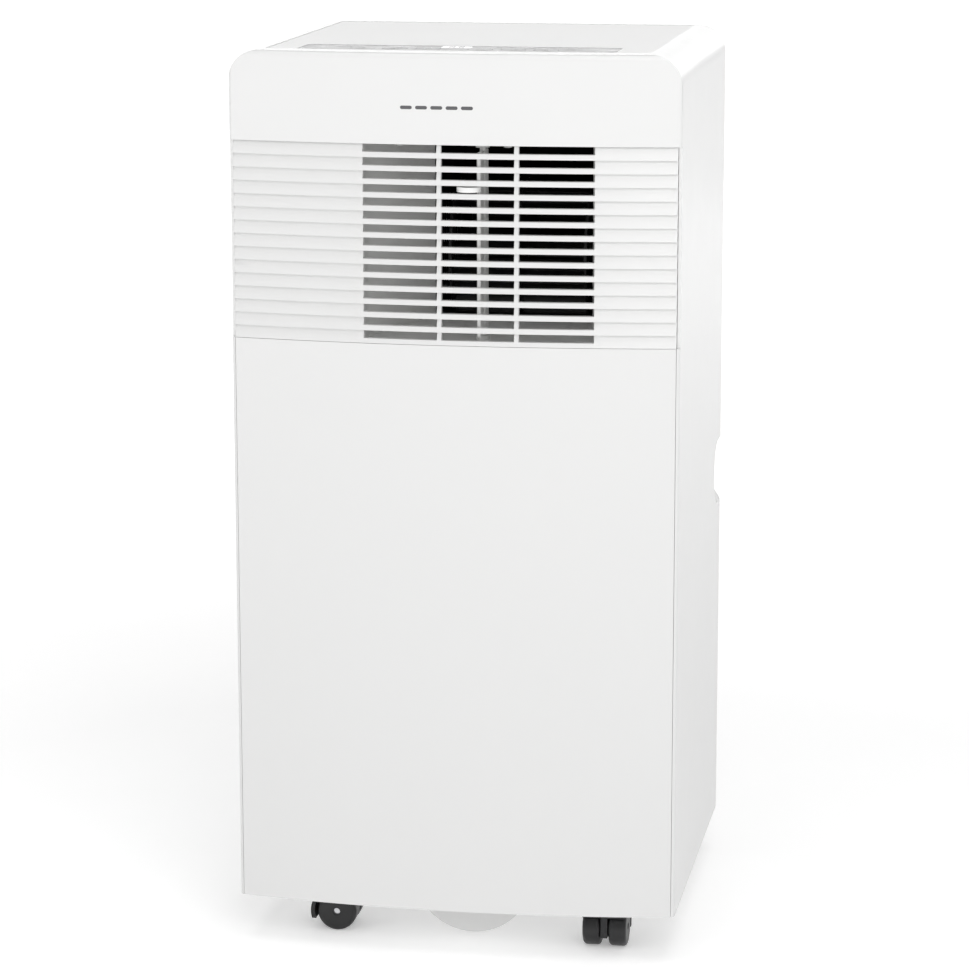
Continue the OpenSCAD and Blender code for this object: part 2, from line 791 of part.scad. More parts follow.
module upper_fan_motor() {
  color(steel) translate([mouth_l - scroll_t - motor_off, up_y, up_z]) rotate([0, 90, 0])
    fan_motor(motor_off, inlet_r + 6);
}

// ---- heat exchangers, deck and rear intake ------------------------------------------------

function row_z(z0, z1, rows, i) = z0 + (i + 0.5) * (z1 - z0) / rows;

// Finned block with end plates and rows of return bends on both ends
module coil(x0, x1, z0, z1, rows) {
  translate([x0 + bend_l, coil_y0, z0]) cube([x1 - x0 - 2 * bend_l, coil_t, z1 - z0]);
  for (x = [x0 + bend_l - end_plate_t, x1 - bend_l])
    translate([x, coil_y0 - 1, z0]) cube([end_plate_t, coil_t + 2, z1 - z0]);
  for (i = [0:rows - 1])
    for (x = [x0, x1 - bend_l + end_plate_t - eps])
      translate([x, coil_y0 + tube_in, row_z(z0, z1, rows, i)]) {
        rotate([0, 90, 0]) cylinder(r = tube_r, h = bend_l - end_plate_t + eps, $fn = 24);
        translate([0, coil_t - 2 * tube_in, 0]) rotate([0, 90, 0])
          cylinder(r = tube_r, h = bend_l - end_plate_t + eps, $fn = 24);
      }
}

module evaporator() {
  color(aluminium) coil(evap_x0, evap_x1, evap_z0, evap_z1, evap_rows);
}

module condenser() {
  color(aluminium) coil(cond_x0, cond_x1, cond_z0, cond_z1, cond_rows);
}

// Insulated deck between the two circuits, with a rim that catches the condensate
module drip_deck() {
  deck_gap = wall + 1.5;
  color(off_white) difference() {
    translate([0, 0, deck_z]) linear_extrude(height = deck_rim) plan_outline(deck_gap);
    difference() {
      translate([0, 0, deck_z + deck_t]) linear_extrude(height = deck_rim)
        plan_outline(deck_gap + 1.8);
      translate([riser_x, riser_y, deck_z]) cylinder(r = suction_r + 4, h = deck_rim);
      translate([liquid_x, liquid_y, deck_z]) cylinder(r = 6, h = deck_rim);
    }
    translate([riser_x, riser_y, deck_z - 1]) cylinder(r = suction_r + 1.5, h = deck_rim + 2);
    translate([liquid_x, liquid_y, deck_z - 1]) cylinder(r = 3, h = deck_rim + 2);
    cup_space(up_drain_x, up_drain_z);
    for (side = [-1, 1]) scoop(side, wall + seam_gap);
  }
}

// Rear grille that fills a rectangular opening, with level bars
module intake_grille(x0, x1, z0, z1) {
  g = seam_gap;
  frame = 9;
  pitch = 9;
  bars = floor((z1 - z0 - 2 * frame) / pitch);
  step = (z1 - z0 - 2 * frame) / bars;
  difference() {
    translate([x0 + g, rear_y - intake_t, z0 + g])
      cube([x1 - x0 - 2 * g, intake_t, z1 - z0 - 2 * g]);
    translate([x0 + frame, rear_y - intake_t - 1, z0 + frame])
      cube([x1 - x0 - 2 * frame, intake_t + 2, z1 - z0 - 2 * frame]);
  }
  for (i = [1:bars - 1])
    translate([x0 + frame - 1, rear_y - intake_t, z0 + frame + i * step - 1.5])
      cube([x1 - x0 - 2 * frame + 2, intake_t - 0.6, 3]);
  for (k = [1:3])
    translate([x0 + (x1 - x0) * k / 4 - 1.5, rear_y - intake_t, z0 + frame - 1])
      cube([3, intake_t - 0.6, z1 - z0 - 2 * frame + 2]);
}

// Framed mesh screen clipped to the inside of an intake grille
module filter_screen(x0, x1, z0, z1) {
  y0 = rear_y - intake_t - filter_t;
  difference() {
    translate([x0 + 3, y0, z0 + 3]) cube([x1 - x0 - 6, filter_t, z1 - z0 - 6]);
    for (k = [0:3])
      translate([x0 + 8 + (x1 - x0 - 13) * k / 4, y0 - 1, z0 + 8])
        cube([(x1 - x0 - 13) / 4 - 3, filter_t / 2 + 0.5, z1 - z0 - 16]);
    for (k = [0:3])
      translate([x0 + 8 + (x1 - x0 - 13) * k / 4, y0 + filter_t / 2 + 0.5, z0 + 8])
        cube([(x1 - x0 - 13) / 4 - 3, filter_t, z1 - z0 - 16]);
  }
}

module upper_intake_grille() {
  color(white) intake_grille(up_in_x0, up_in_x1, up_in_z0, up_in_z1);
}

module upper_filter() {
  color(dark_grey) filter_screen(up_in_x0, up_in_x1, up_in_z0, up_in_z1);
}

module lower_intake_grille() {
  color(white) intake_grille(low_in_x0, low_in_x1, low_in_z0, low_in_z1);
}

module lower_filter() {
  color(dark_grey) filter_screen(low_in_x0, low_in_x1, low_in_z0, low_in_z1);
}

// ---- lower fan and exhaust ----------------------------------------------------------------

// Lower housing outline in its own plane: first axis to the right, second up
module low_outline(grow) {
  end_x = exhaust_x - elbow_hw - elbow_t - low_x;
  polygon(concat(spiral(low_cut_r, low_end_r, low_cut_a, -270, grow, 48),
    [[end_x, low_end_r + grow], [end_x, low_cut_r * sin(low_cut_a) - grow]]));
}

module low_place(y) {
  translate([low_x, y, low_z]) rotate([90, 0, 0]) children();
}

module lower_fan_scroll() {
  d = low_y1 - low_y0;
  end_x = exhaust_x - elbow_hw - elbow_t;
  color(black) difference() {
    union() {
      low_place(low_y1) linear_extrude(height = d) low_outline(scroll_t);
      translate([low_x - 40, low_y0 + 8, pan_floor]) cube([80, 6, 60]);
    }
    low_place(low_y1 - scroll_t) linear_extrude(height = d - 2 * scroll_t) low_outline(0);
    translate([end_x - 3, low_y0 + scroll_t, low_z + low_cut_r * sin(low_cut_a)])
      cube([6, d - 2 * scroll_t, low_end_r - low_cut_r * sin(low_cut_a)]);
    low_place(low_y1 + 1) cylinder(r = inlet_r, h = 5);
    low_place(low_y0 + 5) cylinder(r = 16, h = 8);
  }
}

module lower_fan_wheel() {
  color(dark_grey) low_place(low_y1 - 5) {
    fan_wheel(low_wheel_r, low_wheel_w, low_wheel_w - 2);
    cylinder(r = shaft_r, h = low_wheel_w + 5 + motor_off + shaft_in);
  }
}

module lower_fan_motor() {
  color(steel) translate([low_x, low_y0 - motor_off, low_z]) rotate([-90, 0, 0])
    fan_motor(motor_off, motor_r + 8);
}

// Box that turns the exhaust air to the rear collar
module exhaust_elbow() {
  color(light_grey) difference() {
    translate([exhaust_x - elbow_hw - elbow_t, low_y0, exhaust_z - elbow_hw - elbow_t])
      cube([2 * (elbow_hw + elbow_t), elbow_back - low_y0, 2 * (elbow_hw + elbow_t)]);
    translate([exhaust_x - elbow_hw, low_y0 + elbow_t, exhaust_z - elbow_hw])
      cube([2 * elbow_hw, elbow_back - low_y0 - 2 * elbow_t, 2 * elbow_hw]);
    translate([exhaust_x, elbow_back - 5, exhaust_z]) rotate([-90, 0, 0])
      cylinder(r = exhaust_r + 0.5, h = 10);
    translate([exhaust_x - elbow_hw - elbow_t - 1, low_y0 + scroll_t,
        low_z + low_cut_r * sin(low_cut_a)])
      cube([elbow_t + 2, low_y1 - low_y0 - 2 * scroll_t,
        low_end_r - low_cut_r * sin(low_cut_a)]);
  }
}

// Collar that the exhaust hose plugs into
module exhaust_collar() {
  color(off_white) difference() {
    union() {
      translate([exhaust_x, elbow_back, exhaust_z]) rotate([-90, 0, 0])
        cylinder(r = collar_r, h = rear_y - elbow_back);
      intersection() {
        translate([exhaust_x, elbow_back, exhaust_z]) rotate([-90, 0, 0])
          cylinder(r = collar_r + 4, h = in_rear - elbow_back - seam_gap);
        translate([-half_w, elbow_back - 1, base_z])
          cube([body_w - rear_corner_r + 1, 40, body_h]);
      }
    }
    translate([exhaust_x, elbow_back - 1, exhaust_z]) rotate([-90, 0, 0])
      cylinder(r = exhaust_r, h = 40);
  }
}

// ---- refrigerant circuit ------------------------------------------------------------------

function foot_at(a) = [comp_x + foot_r * cos(a), comp_y + foot_r * sin(a)];

module compressor() {
  dome = 14;
  color(black) difference() {
    union() {
      translate([comp_x, comp_y, comp_z]) cylinder(r = comp_r - 4, h = comp_h);
      translate([comp_x, comp_y, comp_z + dome]) cylinder(r = comp_r, h = comp_h - 2 * dome);
      for (z = [comp_z + dome, comp_z + comp_h - dome])
        translate([comp_x, comp_y, z]) rotate_extrude() {
          translate([comp_r - dome, 0]) intersection() {
            circle(r = dome);
            translate([0, -dome]) square([dome, 2 * dome]);
          }
        }
      translate([comp_x, comp_y, comp_z - foot_t]) cylinder(r = comp_r - 8, h = foot_t + 2);
      for (a = [90, 210, 330]) {
        translate([comp_x, comp_y, comp_z - foot_t]) rotate([0, 0, a])
          translate([0, -11, 0]) cube([foot_r, 22, foot_t]);
        translate([foot_at(a)[0], foot_at(a)[1], comp_z - foot_t]) cylinder(r = 11, h = foot_t);
      }
      translate([accu_x, comp_y, comp_z + 50]) cylinder(r = accu_r, h = accu_top - 50);
      translate([accu_x, comp_y, comp_z + 30]) cylinder(r = 5, h = 22);
      translate([accu_x, comp_y, comp_z + 30]) rotate([0, 90, 0])
        cylinder(r = 5, h = comp_x - accu_x - comp_r + 6);
      translate([accu_x, comp_y - 5, comp_z + 100]) cube([comp_x - accu_x, 10, 12]);
    }
    for (a = [90, 210, 330])
      translate([foot_at(a)[0], foot_at(a)[1], comp_z - foot_t - 1])
        cylinder(r = stud_r + 1, h = foot_t + 2);
  }
}

module compressor_grommets() {
  color(dark_grey) for (a = [90, 210, 330])
    translate([foot_at(a)[0], foot_at(a)[1], pan_floor]) difference() {
      cylinder(r = 8, h = grommet_h);
      translate([0, 0, -1]) cylinder(r = stud_r + 0.05, h = grommet_h + 2);
    }
}

function unit(v) = v / norm(v);

// Round pipe through the points of a route, with a ball at each corner
module pipe(route, r) {
  bend = 2 * r;
  socket = bend - 1;
  last = len(route) - 1;
  for (i = [0:last - 1]) {
    a = unit(route[i + 1] - route[i]);
    p = i == 0 ? route[0] : route[i] + socket * a;
    q = i == last - 1 ? route[last] : route[i + 1] - socket * a;
    translate(p) rotate([0, acos(a[2]), atan2(a[1], a[0])])
      cylinder(r = r, h = norm(q - p), $fn = 24);
  }
  for (i = [1:last - 1]) {
    a = unit(route[i] - route[i - 1]);
    b = unit(route[i + 1] - route[i]);
    w = cross(a, b);
    c = route[i] + bend * (b - a);
    multmatrix([[-b[0], a[0], w[0], c[0]], [-b[1], a[1], w[1], c[1]], [-b[2], a[2], w[2], c[2]]])
      rotate_extrude(angle = 90, $fn = 48) translate([bend, 0]) circle(r = r + 0.5, $fn = 24);
  }
}

module discharge_pipe() {
  color(copper) pipe(discharge_route, pipe_r);
}

module suction_pipe() {
  color(copper) pipe(suction_route, suction_r);
}

module capillary_tube() {
  color(copper) pipe(capillary_route, capillary_r);
}

// ---- base ---------------------------------------------------------------------------------

module trough_solid(r, y0, y1) {
  translate([trough_x, y0, trough_z]) rotate([-90, 0, 0]) cylinder(r = r, h = y1 - y0);
}

module base_pan() {
  color(light_grey) difference() {
    union() {
      translate([0, 0, pan_z]) linear_extrude(height = pan_h) plan_outline(wall + seam_gap);
      intersection() {
        trough_solid(trough_r, trough_y0, trough_y1);
        translate([trough_x - 60, trough_y0 - 1, 0]) cube([120, body_d, pan_z + 1]);
      }
    }
    difference() {
      translate([0, 0, pan_floor]) linear_extrude(height = pan_h) plan_outline(wall + seam_gap + 2);
      for (sx = [-1, 1])
        for (y = [caster_fy, caster_ry])
          translate([sx * caster_x, y, pan_floor - 1]) cylinder(r = boss_r, h = boss_top - pan_floor + 1);
      for (a = [90, 210, 330])
        translate([foot_at(a)[0], foot_at(a)[1], pan_floor - 1])
          cylinder(r = stud_r, h = grommet_h + foot_t + 0.5);
    }
    intersection() {
      trough_solid(trough_r - trough_t, trough_y0 + trough_t, trough_y1 - trough_t);
      translate([trough_x - 60, trough_y0 - 1, 0]) cube([120, body_d, pan_floor + 2]);
    }
    for (sx = [-1, 1])
      for (y = [caster_fy, caster_ry])
        translate([sx * caster_x, y, 0]) cylinder(r = stem_r + fit_gap, h = stem_top + 0.5);
    cup_space(drain_x, low_drain_z);
  }
}

// Disc with paddles that throws condensate onto the condenser
module slinger_wheel() {
  paddles = 12;
  color(white) translate([trough_x, slinger_y + slinger_w / 2, trough_z]) rotate([90, 0, 0]) {
    cylinder(r = slinger_r - 5, h = 2);
    for (i = [0:paddles - 1])
      rotate([0, 0, i * 360 / paddles]) translate([slinger_r - 12, -0.8, 0])
        cube([12, 1.6, slinger_w]);
    cylinder(r = 5, h = slinger_w + 2);
    cylinder(r = 2, h = slinger_w + 14);
  }
}

module slinger_motor() {
  can_r = 17;
  can_h = 26;
  can_y = slinger_y - slinger_w / 2 - 4;
  color(steel) difference() {
    union() {
      translate([trough_x, can_y, trough_z]) rotate([90, 0, 0]) cylinder(r = can_r, h = can_h);
      translate([trough_x - trough_r - 12, can_y - 16, pan_floor])
        cube([2 * trough_r + 24, 10, 3]);
      translate([trough_x - can_r + 3, can_y - 16, pan_floor]) cube([2 * can_r - 6, 10, 6]);
    }
    translate([trough_x, can_y + 1, trough_z]) rotate([90, 0, 0])
      cylinder(r = 2 + fit_gap, h = 14);
  }
}

module float_bracket() {
  color(white) difference() {
    union() {
      translate([float_x - 14, float_y - 6, pan_floor]) cube([28, 12, 3]);
      for (x = [float_x - 14, float_x + 11])
        translate([x, float_y - 5, pan_floor]) cube([3, 10, float_z + 5 - pan_floor]);
    }
    translate([float_x - 20, float_y, float_z]) rotate([0, 90, 0])
      cylinder(r = pin_r + fit_gap, h = 40);
  }
}

// Float on a lever that lifts when the pan is full
module float_lever() {
  color("orange") {
    translate([float_x - 15, float_y, float_z]) rotate([0, 90, 0]) cylinder(r = pin_r, h = 30);
    translate([float_x - 5, float_y - 3, float_z - 3]) cube([10, 30, 6]);
    translate([float_x - 10, float_y + 20, pan_floor + float_range_gap]) cube([20, 26, 20]);
  }
}

module electrical_box() {
  color(light_grey) difference() {
    translate([box_x0, box_y0, pan_floor]) cube([box_w, box_d, box_h]);
    translate([box_x0 + 2, box_y0 + 2, pan_floor + 20]) cube([box_w - 4, box_d - 4, box_h - 22]);
    for (i = [0:4])
      translate([box_x0 + 10 + i * 10, box_y0 - 1, pan_floor + 70]) cube([4, 6, 36]);
    translate([-half_w + caster_side, caster_fy, pan_floor - 1])
      cylinder(r = boss_r + 1, h = boss_top - pan_floor + 2);
  }
}

module run_capacitor() {
  color(aluminium) translate([box_x0 + box_w + cap_r + 6, box_y0 + 30, pan_floor]) {
    cylinder(r = cap_r, h = 66);
    for (x = [-6, 6])
      translate([x - 3, -1, 65]) cube([6, 2, 9]);
  }
}

// Gland that the mains lead would pass through
module cord_gland() {
  color(black) difference() {
    union() {
      translate([gland_x, rear_y - 14, gland_z]) rotate([-90, 0, 0]) cylinder(r = gland_r, h = 14);
      translate([gland_x, in_rear - 3.2, gland_z]) rotate([-90, 0, 0])
        cylinder(r = gland_r + 3, h = 3);
    }
    translate([gland_x, rear_y - 16, gland_z]) rotate([-90, 0, 0]) cylinder(r = cord_r, h = 20);
  }
}

// Rubber plug with a pull lip, pushed into a drain spout
module drain_plug(x, z) {
  color(dark_grey) {
    translate([x, rear_y - drain_recess - plug_in, z]) rotate([-90, 0, 0])
      cylinder(r = drain_r - fit_gap, h = plug_in + 1);
    translate([x, rear_y - drain_recess + 0.3, z]) rotate([-90, 0, 0])
      cylinder(r = drain_r + 3, h = 2.5);
    translate([x - 5, rear_y - drain_recess + 2, z - 1.2]) cube([10, drain_recess - 2.6, 2.4]);
  }
}

module upper_drain_plug() {
  drain_plug(up_drain_x, up_drain_z);
}

module lower_drain_plug() {
  drain_plug(drain_x, low_drain_z);
}

module cabinet_screws() {
  color(steel) for (p = screw_at)
    difference() {
      union() {
        translate([p[0], rear_y - screw_l, p[1]]) rotate([-90, 0, 0])
          cylinder(r = screw_r, h = screw_l - 0.6);
        translate([p[0], rear_y - screw_head_t, p[1]]) rotate([-90, 0, 0])
          cylinder(r = screw_head_r - 0.2, h = screw_head_t - 0.4);
      }
      for (a = [0, 90])
        translate([p[0], rear_y, p[1]]) rotate([0, a, 0]) cube([4, 2.4, 0.9], center = true);
    }
}

// ---- casters ------------------------------------------------------------------------------

// Moves a caster, trailing along +X, to its corner and turns it
module caster_place(corner) {
  x = corner[0] * caster_x;
  y = corner[1] < 0 ? caster_fy : caster_ry;
  translate([x, y, 0]) rotate([0, 0, corner[2]]) children();
}

// Hood with stem: a fender over the twin wheels and a web between them
module caster_fork(corner) {
  color(black) caster_place(corner) difference() {
    union() {
      translate([0, 0, fork_top - fork_plate]) cylinder(r = 11, h = fork_plate + 1);
      cylinder_stem();
      intersection() {
        translate([trail, wheel_w / 2, wheel_r]) rotate([90, 0, 0])
          cylinder(r = fender_r, h = wheel_w);
        translate([trail - fender_r, -wheel_w / 2, wheel_r - 6])
          cube([fender_r + 14, wheel_w, fender_r + 6]);
      }
    }
    for (s = [-1, 1])
      translate([trail, s * (web_t / 2 + wheel_w / 2), wheel_r]) rotate([90, 0, 0])
        cylinder(r = fender_r - fender_t, h = wheel_w, center = true);
    translate([trail, wheel_w, wheel_r]) rotate([90, 0, 0])
      cylinder(r = axle_r, h = 2 * wheel_w);
    translate([trail - fender_r - 1, -wheel_w, wheel_r - 20])
      cube([fender_r - wheel_r + 8, wheel_w - web_t / 2, 14]);
  }
}

module cylinder_stem() {
  translate([0, 0, fork_top - 1]) cylinder(r = stem_r, h = stem_top - fork_top + 1);
}

module caster_axle(corner) {
  color(steel) caster_place(corner) translate([trail, wheel_w / 2 - 2, wheel_r])
    rotate([90, 0, 0]) cylinder(r = axle_r, h = wheel_w - 4);
}

// Twin wheels with rounded treads, one on each side of the web
module caster_wheels(corner) {
  side_gap = 0.5;
  edge_r = 3;
  w = (wheel_w - web_t) / 2 - side_gap;
  color(black) caster_place(corner) for (s = [-1, 1])
    translate([trail, s * (web_t / 2 + side_gap + w / 2), wheel_r]) rotate([90, 0, 0])
      difference() {
        union() {
          cylinder(r = wheel_r, h = w - 2 * edge_r, center = true);
          cylinder(r = wheel_r - edge_r, h = w, center = true);
          for (e = [-1, 1])
            translate([0, 0, e * (w / 2 - edge_r)]) rotate_extrude()
              translate([wheel_r - edge_r, 0]) circle(r = edge_r, $fn = 32);
        }
        cylinder(r = axle_r + fit_gap, h = w + 2, center = true);
      }
}

// side, end and turn of each caster
front_left = [-1, -1, 0];
front_right = [1, -1, -90];
rear_left = [-1, 1, 90];
rear_right = [1, 1, 180];

front_shell();
louver_grille();
lower_front_panel();
rear_shell();
top_cover();
control_overlay();
display_window();
control_board();
key(5);  // power_key
key(0);  // mode_key
key(1);  // fan_key
key(2);  // timer_key
key(3);  // warmer_key
key(4);  // cooler_key
air_outlet_duct();
swing_vane();
upper_fan_scroll();
upper_fan_wheel();
upper_fan_motor();
evaporator();
drip_deck();
upper_intake_grille();
upper_filter();
lower_intake_grille();
lower_filter();
condenser();
lower_fan_scroll();
lower_fan_wheel();
lower_fan_motor();
exhaust_elbow();
exhaust_collar();
compressor();
compressor_grommets();
discharge_pipe();
suction_pipe();
capillary_tube();
base_pan();
slinger_wheel();
slinger_motor();
float_bracket();
float_lever();
electrical_box();
run_capacitor();
cord_gland();
upper_drain_plug();
lower_drain_plug();
cabinet_screws();
caster_fork(front_left);  // front_left_fork
caster_axle(front_left);  // front_left_axle
caster_wheels(front_left);  // front_left_wheels
caster_fork(front_right);  // front_right_fork
caster_axle(front_right);  // front_right_axle
caster_wheels(front_right);  // front_right_wheels
caster_fork(rear_left);  // rear_left_fork
caster_axle(rear_left);  // rear_left_axle
caster_wheels(rear_left);  // rear_left_wheels
caster_fork(rear_right);  // rear_right_fork
caster_axle(rear_right);  // rear_right_axle
caster_wheels(rear_right);  // rear_right_wheels
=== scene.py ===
import bpy
import bmesh
import json
import math
from mathutils import Matrix, Vector


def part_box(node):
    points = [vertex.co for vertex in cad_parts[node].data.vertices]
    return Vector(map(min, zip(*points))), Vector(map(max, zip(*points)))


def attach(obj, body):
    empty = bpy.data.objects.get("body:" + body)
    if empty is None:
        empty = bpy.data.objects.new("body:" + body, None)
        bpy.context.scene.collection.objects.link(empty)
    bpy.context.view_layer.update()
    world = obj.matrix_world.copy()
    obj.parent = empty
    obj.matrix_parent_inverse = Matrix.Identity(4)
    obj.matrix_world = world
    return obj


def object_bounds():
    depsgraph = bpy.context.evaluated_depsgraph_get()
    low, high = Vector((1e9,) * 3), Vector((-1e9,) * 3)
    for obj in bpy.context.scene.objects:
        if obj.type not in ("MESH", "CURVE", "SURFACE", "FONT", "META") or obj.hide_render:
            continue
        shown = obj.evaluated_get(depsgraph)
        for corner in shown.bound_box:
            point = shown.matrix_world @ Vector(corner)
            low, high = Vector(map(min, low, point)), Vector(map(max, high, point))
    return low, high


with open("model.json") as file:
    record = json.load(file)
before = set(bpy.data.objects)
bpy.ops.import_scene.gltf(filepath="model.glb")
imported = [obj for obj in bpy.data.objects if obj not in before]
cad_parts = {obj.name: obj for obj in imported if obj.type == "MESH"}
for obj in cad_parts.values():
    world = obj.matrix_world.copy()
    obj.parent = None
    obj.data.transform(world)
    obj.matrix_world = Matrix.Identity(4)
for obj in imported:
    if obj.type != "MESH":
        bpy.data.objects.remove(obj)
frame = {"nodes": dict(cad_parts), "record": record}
nodes = frame["nodes"]
cad_lo, cad_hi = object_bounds()

MM = 0.001

# A wave texture of scale WAVE_UNIT / p repeats every p metres
WAVE_UNIT = 0.314

# How far the middle of the front stands ahead of its corners, in millimetres, as in the CAD
FRONT_BOW = 13.4


# ---- camera ---------------------------------------------------------------------------------

def make_camera():
    yaw, pitch, roll = (math.radians(a) for a in (9.906, 11.808, -0.061))
    forward = Vector((-math.sin(yaw) * math.cos(pitch),
                      math.cos(yaw) * math.cos(pitch), -math.sin(pitch)))
    right = Vector((math.cos(yaw), math.sin(yaw), 0))
    up = right.cross(forward)
    right, up = (right * math.cos(roll) + up * math.sin(roll),
                 up * math.cos(roll) - right * math.sin(roll))
    data = bpy.data.cameras.new("camera")
    data.sensor_width = 36
    data.lens = 129.21
    data.clip_start = 0.05
    data.clip_end = 60
    cam = bpy.data.objects.new("camera", data)
    bpy.context.scene.collection.objects.link(cam)
    turn = Matrix((right, up, -forward)).transposed().to_4x4()
    cam.matrix_world = Matrix.Translation((0.44825, -2.57504, 0.87254)) @ turn
    bpy.context.scene.camera = cam


# ---- materials ------------------------------------------------------------------------------

class Maker:
    """A node material under construction, with short calls for its nodes."""

    def __init__(self, name):
        self.mat = bpy.data.materials.new(name)
        self.mat.use_nodes = True
        self.tree = self.mat.node_tree
        self.shader = self.tree.nodes["Principled BSDF"]
        self.where = self.add("ShaderNodeTexCoord").outputs["Object"]

    def add(self, kind, **inputs):
        node = self.tree.nodes.new(kind)
        for key, value in inputs.items():
            self.put(node, key.replace("_", " "), value)
        return node

    def put(self, node, key, value):
        socket = node.inputs[key]
        if isinstance(value, bpy.types.NodeSocket):
            self.tree.links.new(value, socket)
        else:
            socket.default_value = value

    def set(self, key, value):
        self.put(self.shader, key, value)

    def noise(self, scale, detail=3.0, rough=0.55, stretch=None):
        at = self.where
        if stretch:
            at = self.add("ShaderNodeMapping", Vector=self.where, Scale=stretch).outputs[0]
        return self.add("ShaderNodeTexNoise", Vector=at, Scale=scale, Detail=detail,
                        Roughness=rough).outputs["Fac"]

    def spread(self, fac, low, high, at=(0.3, 0.7)):
        """fac, remapped from the range `at` to the range low to high."""
        node = self.add("ShaderNodeMapRange")
        self.put(node, "Value", fac)
        node.inputs["From Min"].default_value = at[0]
        node.inputs["From Max"].default_value = at[1]
        node.inputs["To Min"].default_value = low
        node.inputs["To Max"].default_value = high
        return node.outputs["Result"]

    def blend(self, fac, a, b):
        node = self.tree.nodes.new("ShaderNodeMix")
        node.data_type = "RGBA"
        self.tree.links.new(fac, node.inputs[0])
        for index, value in ((6, a), (7, b)):
            if isinstance(value, bpy.types.NodeSocket):
                self.tree.links.new(value, node.inputs[index])
            else:
                node.inputs[index].default_value = (*value, 1)
        return node.outputs[2]

    def bump(self, height, strength, distance, onto=None):
        node = self.add("ShaderNodeBump", Height=height, Strength=strength, Distance=distance)
        if onto is not None:
            self.tree.links.new(onto, node.inputs["Normal"])
        return node.outputs["Normal"]


def shade(c, f):
    return tuple(min(1.0, v * f) for v in c)


def plastic(name, colour, rough=0.35, grain=900, depth=0.00006, coat=0.0, tint=0.985, fleck=0.0,
            sway=0.05):
    """Moulded plastic: faint mottling, uneven gloss, and a fine moulded grain over a soft waviness."""
    m = Maker(name)
    base = m.blend(m.spread(m.noise(9, 4), 0, 1), shade(colour, tint), colour)
    if fleck:
        base = m.blend(m.spread(m.noise(2600, 2), 0, fleck, (0.55, 0.75)), base, shade(colour, 1.9))
    m.set("Base Color", base)
    m.set("Roughness", m.spread(m.noise(70, 5, 0.65), rough - sway, rough + sway))
    m.set("IOR", 1.49)
    if coat:
        m.set("Coat Weight", coat)
        m.set("Coat Roughness", 0.12)
    wave = m.bump(m.noise(22, 2), 0.12, 0.0006)
    m.set("Normal", m.bump(m.noise(grain, 4, 0.6), 0.35, depth, wave))
    return m.mat


def metal(name, colour, rough=0.3, brush=None, scale=900, metallic=1.0, depth=0.00004):
    """Metal with rolled or drawn lines along one axis and uneven gloss."""
    m = Maker(name)
    lines = m.noise(scale, 3, 0.6, stretch=brush)
    cloud = m.noise(25, 5, 0.6)
    m.set("Base Color", m.blend(m.spread(cloud, 0, 1), shade(colour, 0.82), colour))
    m.set("Metallic", metallic)
    m.set("Roughness", m.spread(lines, rough - 0.08, rough + 0.12))
    m.set("Normal", m.bump(lines, 0.4, depth, m.bump(cloud, 0.2, 0.0004)))
    return m.mat


def rubber(name, colour):
    m = Maker(name)
    dust = m.spread(m.noise(120, 6, 0.7), 0, 1, (0.45, 0.8))
    m.set("Base Color", m.blend(dust, colour, shade(colour, 2.2)))
    m.set("Roughness", m.spread(m.noise(60, 4), 0.7, 0.9))
    m.set("Normal", m.bump(m.noise(1800, 3, 0.7), 0.5, 0.00008))
    return m.mat


def fins(name, colour):
    """Coil block: a fin every 1.8 mm across X, with rippled edges, painted shade in the gaps between fins,
    and patches of painted shade and uneven gloss standing in for the odd bent fin.
    """
    m = Maker(name)
    # painted shade: this noise darkens patches of the fin colour as if fins were bent away from the light;
    # it also varies the gloss
    bent_fin_shade_and_gloss = m.noise(90, 3, stretch=(0.2, 1, 0.2))
    wave = m.add("ShaderNodeTexWave", Vector=m.where, Scale=WAVE_UNIT / 0.0018, Distortion=0.6,
                 Detail=2.0)
    wave.wave_profile = "TRI"
    # painted shade: the gaps between fins are coloured near-black
    painted_fin_gap_shade = m.spread(wave.outputs["Fac"], 0, 1, (0.25, 0.6))
    metal_face = m.blend(m.spread(bent_fin_shade_and_gloss, 0, 1), shade(colour, 0.8), colour)
    m.set("Base Color", m.blend(painted_fin_gap_shade, (0.10, 0.10, 0.11), metal_face))
    m.set("Metallic", 0.85)
    m.set("Roughness", m.spread(bent_fin_shade_and_gloss, 0.3, 0.5))
    m.set("Normal", m.bump(wave.outputs["Fac"], 0.9, 0.0008))
    return m.mat


def weave(name, colour):
    """Filter cloth: two crossed sets of threads, 1.1 mm apart, in its frame, with painted shade in the
    openings between threads.
    """
    m = Maker(name)
    threads = []
    for direction in ("X", "Z"):
        w = m.add("ShaderNodeTexWave", Vector=m.where, Scale=WAVE_UNIT / 0.0011, Distortion=0.15,
                  Detail=1.0)
        w.bands_direction = direction
        threads.append(w.outputs["Fac"])
    top = m.add("ShaderNodeMath")
    top.operation = "MAXIMUM"
    for index, value in enumerate(threads):
        m.tree.links.new(value, top.inputs[index])
    painted_opening_shade = m.spread(top.outputs[0], 0, 1, (0.45, 0.75))
    # painted shade: the openings between threads are coloured at a quarter of the thread colour
    m.set("Base Color", m.blend(painted_opening_shade, shade(colour, 0.25), colour))
    m.set("Roughness", m.spread(m.noise(200), 0.55, 0.75))
    m.set("Normal", m.bump(top.outputs[0], 0.8, 0.0004))
    return m.mat


def circuit(name):
    """Solder mask over copper tracks on a thin board."""
    m = Maker(name)
    cells = m.add("ShaderNodeTexVoronoi", Vector=m.where, Scale=260)
    cells.distance = "MANHATTAN"
    track = m.spread(cells.outputs["Distance"], 0, 1, (0.25, 0.3))
    m.set("Base Color", m.blend(track, (0.04, 0.20, 0.08), (0.02, 0.12, 0.05)))
    m.set("Roughness", m.spread(m.noise(400), 0.25, 0.4))
    m.set("Normal", m.bump(cells.outputs["Distance"], 0.4, 0.0001))
    return m.mat


